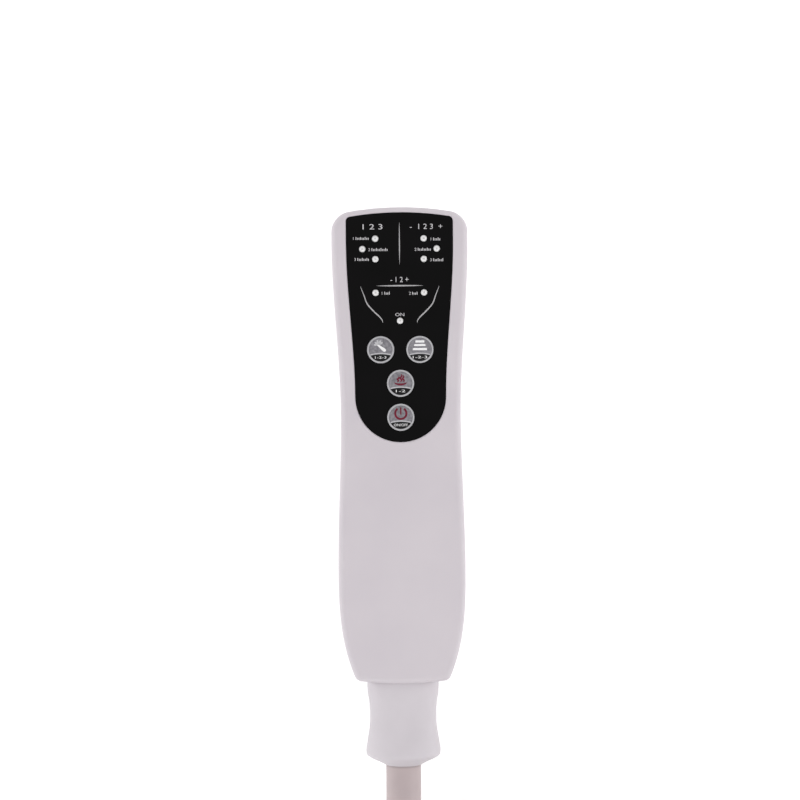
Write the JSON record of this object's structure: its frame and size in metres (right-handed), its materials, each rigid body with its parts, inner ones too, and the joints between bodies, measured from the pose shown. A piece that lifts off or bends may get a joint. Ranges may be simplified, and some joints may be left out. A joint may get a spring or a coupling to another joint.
{
  "type": "foot massager hand controller",
  "caption": "Hand controller of an air-compression foot massager: waisted two-shell case, black panel with push buttons and lights, air pump and valves inside, flared boot and coiled air hose.",
  "frame": {"origin": "bottom centre of the case, on the surface that its back lies on", "axes": "+Y along the case to the head end, away from the hose; +Z out of the control panel; +X to the right as seen from the front"},
  "size_m": [0.1915, 0.4457, 0.0382],
  "materials": {
    "shell_abs": "moulded ABS, satin, pale lilac grey",
    "panel_acrylic": "gloss black",
    "ring_chrome": "plated, satin",
    "button_grey": "metallic grey",
    "led_epoxy": "milky white",
    "black_nylon": "matt",
    "white_nylon": "matt",
    "board_green": "solder resist",
    "capacitor_can": "sleeved",
    "screw_steel": "zinc plated",
    "motor_steel": "nickel plated",
    "bronze": "sintered",
    "ferrite": "ground",
    "copper": "enamelled wire",
    "black_rubber": "matt",
    "foam": "open cell",
    "silicone": "translucent",
    "wire_pvc": "satin",
    "boot_pvc": "soft, satin, pale lilac grey",
    "hose_pvc": "soft PVC, warm pale grey",
    "strap": "hook and loop"
  },
  "bodies": {
    "casing": {"air_manifold": "white_nylon", "air_tubes": "silicone", "board_capacitors": "capacitor_can", "board_connectors": "white_nylon", "board_screws": "screw_steel", "case_screws": "screw_steel", "control_panel": "panel_acrylic", "controller_chip": "black_nylon", "crank_housing": "white_nylon", "dc_socket": "black_nylon", "front_cover": "shell_abs", "heat_leds": "led_epoxy", "heater_leads": "wire_pvc", "hose": "hose_pvc", "hose_boot": "boot_pvc", "hose_coil": "hose_pvc", "hose_connector": "boot_pvc", "hose_tie": "strap", "led_spacers": "black_nylon", "left_valve_spring": "screw_steel", "main_board": "board_green", "mode_leds": "led_epoxy", "motor_bushes": "bronze", "motor_can": "motor_steel", "motor_end_cap": "black_nylon", "motor_leads": "wire_pvc", "motor_magnets": "ferrite", "power_led": "led_epoxy", "pressure_leds": "led_epoxy", "pressure_sensor": "white_nylon", "pump_diaphragm": "black_rubber", "pump_head": "white_nylon", "pump_screws": "screw_steel", "pump_sleeve": "foam", "pump_tube": "silicone", "rear_cover": "shell_abs", "right_valve_spring": "screw_steel", "switch_bodies": "black_nylon", "valve_bobbins": "white_nylon", "valve_coils": "copper", "valve_frames": "motor_steel", "valve_plate": "white_nylon", "wobble_plate": "black_nylon"},
    "mode_button": {"mode_button_cap": "button_grey", "mode_button_ring": "ring_chrome", "mode_switch_plunger": "black_nylon"},
    "pressure_button": {"pressure_button_cap": "button_grey", "pressure_button_ring": "ring_chrome", "pressure_switch_plunger": "black_nylon"},
    "heat_button": {"heat_button_cap": "button_grey", "heat_button_ring": "ring_chrome", "heat_switch_plunger": "black_nylon"},
    "power_button": {"power_button_cap": "button_grey", "power_button_ring": "ring_chrome", "power_switch_plunger": "black_nylon"},
    "pump_rotor": {"motor_shaft": "screw_steel", "motor_armature": "motor_steel", "pump_eccentric": "white_nylon"},
    "left_valve": {"left_valve_plunger": "screw_steel"},
    "right_valve": {"right_valve_plunger": "screw_steel"}
  },
  "joints": [
    {"name": "mode_press", "type": "slide", "parent": "casing", "child": "mode_button", "axis": [0, 0, -1], "range_m": [0, 0.0005], "stiffness_N_per_m": 300, "springref_m": -0.001},
    {"name": "pressure_press", "type": "slide", "parent": "casing", "child": "pressure_button", "axis": [0, 0, -1], "range_m": [0, 0.0005], "stiffness_N_per_m": 300, "springref_m": -0.001},
    {"name": "heat_press", "type": "slide", "parent": "casing", "child": "heat_button", "axis": [0, 0, -1], "range_m": [0, 0.0005], "stiffness_N_per_m": 300, "springref_m": -0.001},
    {"name": "power_press", "type": "slide", "parent": "casing", "child": "power_button", "axis": [0, 0, -1], "range_m": [0, 0.0005], "stiffness_N_per_m": 300, "springref_m": -0.001},
    {"name": "rotor_spin", "type": "hinge", "parent": "casing", "child": "pump_rotor", "pos_m": [0, -0.047, 0.018], "axis": [0, 1, 0], "continuous": true},
    {"name": "left_valve_lift", "type": "slide", "parent": "casing", "child": "left_valve", "axis": [0, 0, 1], "range_m": [0, 0.001], "stiffness_N_per_m": 200, "springref_m": -0.002, "deforming": ["left_valve_spring"]},
    {"name": "right_valve_lift", "type": "slide", "parent": "casing", "child": "right_valve", "axis": [0, 0, 1], "range_m": [0, 0.001], "stiffness_N_per_m": 200, "springref_m": -0.002, "deforming": ["right_valve_spring"]}
  ]
}
